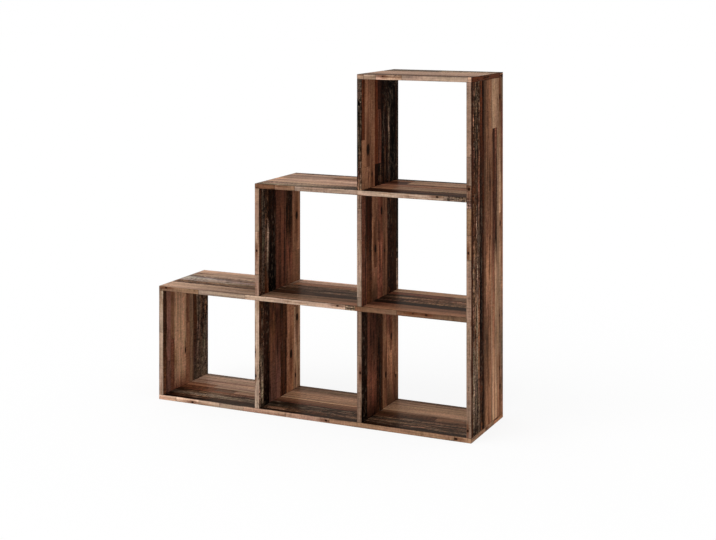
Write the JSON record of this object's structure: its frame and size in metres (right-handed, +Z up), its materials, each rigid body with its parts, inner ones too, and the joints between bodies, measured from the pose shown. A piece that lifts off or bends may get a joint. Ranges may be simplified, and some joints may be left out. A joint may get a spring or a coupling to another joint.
{
  "type": "staircase bookshelf",
  "caption": "Open-backed staircase bookshelf of wood-look boards: stacked cube compartments that climb to one side, joined by hidden cams and dowels.",
  "frame": {"origin": "middle of the footprint, on the floor, at the bottom board's underside", "axes": "+X to the right as seen from the front, towards the tall side; +Y to the back; +Z up"},
  "size_m": [1.044, 0.33, 1.08],
  "materials": {
    "printed_wood_board": "matt printed reclaimed-plank foil on chipboard",
    "zinc_fitting": "bright zinc",
    "beech_dowel": "raw beech"
  },
  "bodies": {
    "root": {"bottom_board": "printed_wood_board", "cam_connector_foot_of_lower_row_divider_1_back": "zinc_fitting", "cam_connector_foot_of_lower_row_divider_1_front": "zinc_fitting", "cam_connector_foot_of_lower_row_divider_2_back": "zinc_fitting", "cam_connector_foot_of_lower_row_divider_2_front": "zinc_fitting", "cam_connector_foot_of_lower_row_left_panel_back": "zinc_fitting", "cam_connector_foot_of_lower_row_left_panel_front": "zinc_fitting", "cam_connector_foot_of_right_side_panel_back": "zinc_fitting", "cam_connector_foot_of_right_side_panel_front": "zinc_fitting", "cam_connector_head_of_lower_row_left_panel_back": "zinc_fitting", "cam_connector_head_of_lower_row_left_panel_front": "zinc_fitting", "cam_connector_head_of_middle_row_left_panel_back": "zinc_fitting", "cam_connector_head_of_middle_row_left_panel_front": "zinc_fitting", "cam_connector_head_of_right_side_panel_back": "zinc_fitting", "cam_connector_head_of_right_side_panel_front": "zinc_fitting", "cam_connector_head_of_top_row_left_panel_back": "zinc_fitting", "cam_connector_head_of_top_row_left_panel_front": "zinc_fitting", "cam_connector_right_end_of_lower_shelf_back": "zinc_fitting", "cam_connector_right_end_of_lower_shelf_front": "zinc_fitting", "cam_connector_right_end_of_upper_shelf_back": "zinc_fitting", "cam_connector_right_end_of_upper_shelf_front": "zinc_fitting", "double_cam_connector_lower_shelf_crossing_1_back": "zinc_fitting", "double_cam_connector_lower_shelf_crossing_1_front": "zinc_fitting", "double_cam_connector_lower_shelf_crossing_2_back": "zinc_fitting", "double_cam_connector_lower_shelf_crossing_2_front": "zinc_fitting", "double_cam_connector_upper_shelf_crossing_1_back": "zinc_fitting", "double_cam_connector_upper_shelf_crossing_1_front": "zinc_fitting", "dowel_foot_of_lower_row_divider_1": "beech_dowel", "dowel_foot_of_lower_row_divider_2": "beech_dowel", "dowel_foot_of_lower_row_left_panel": "beech_dowel", "dowel_foot_of_right_side_panel": "beech_dowel", "dowel_head_of_lower_row_left_panel": "beech_dowel", "dowel_head_of_middle_row_left_panel": "beech_dowel", "dowel_head_of_right_side_panel": "beech_dowel", "dowel_head_of_top_row_left_panel": "beech_dowel", "dowel_right_end_of_lower_shelf": "beech_dowel", "dowel_right_end_of_upper_shelf": "beech_dowel", "lower_row_divider_1": "printed_wood_board", "lower_row_divider_2": "printed_wood_board", "lower_row_left_panel": "printed_wood_board", "lower_shelf": "printed_wood_board", "middle_row_divider_1": "printed_wood_board", "middle_row_left_panel": "printed_wood_board", "right_side_panel": "printed_wood_board", "through_dowel_lower_shelf_crossing_1": "beech_dowel", "through_dowel_lower_shelf_crossing_2": "beech_dowel", "through_dowel_upper_shelf_crossing_1": "beech_dowel", "top_board": "printed_wood_board", "top_row_left_panel": "printed_wood_board", "upper_shelf": "printed_wood_board"}
  },
  "joints": []
}
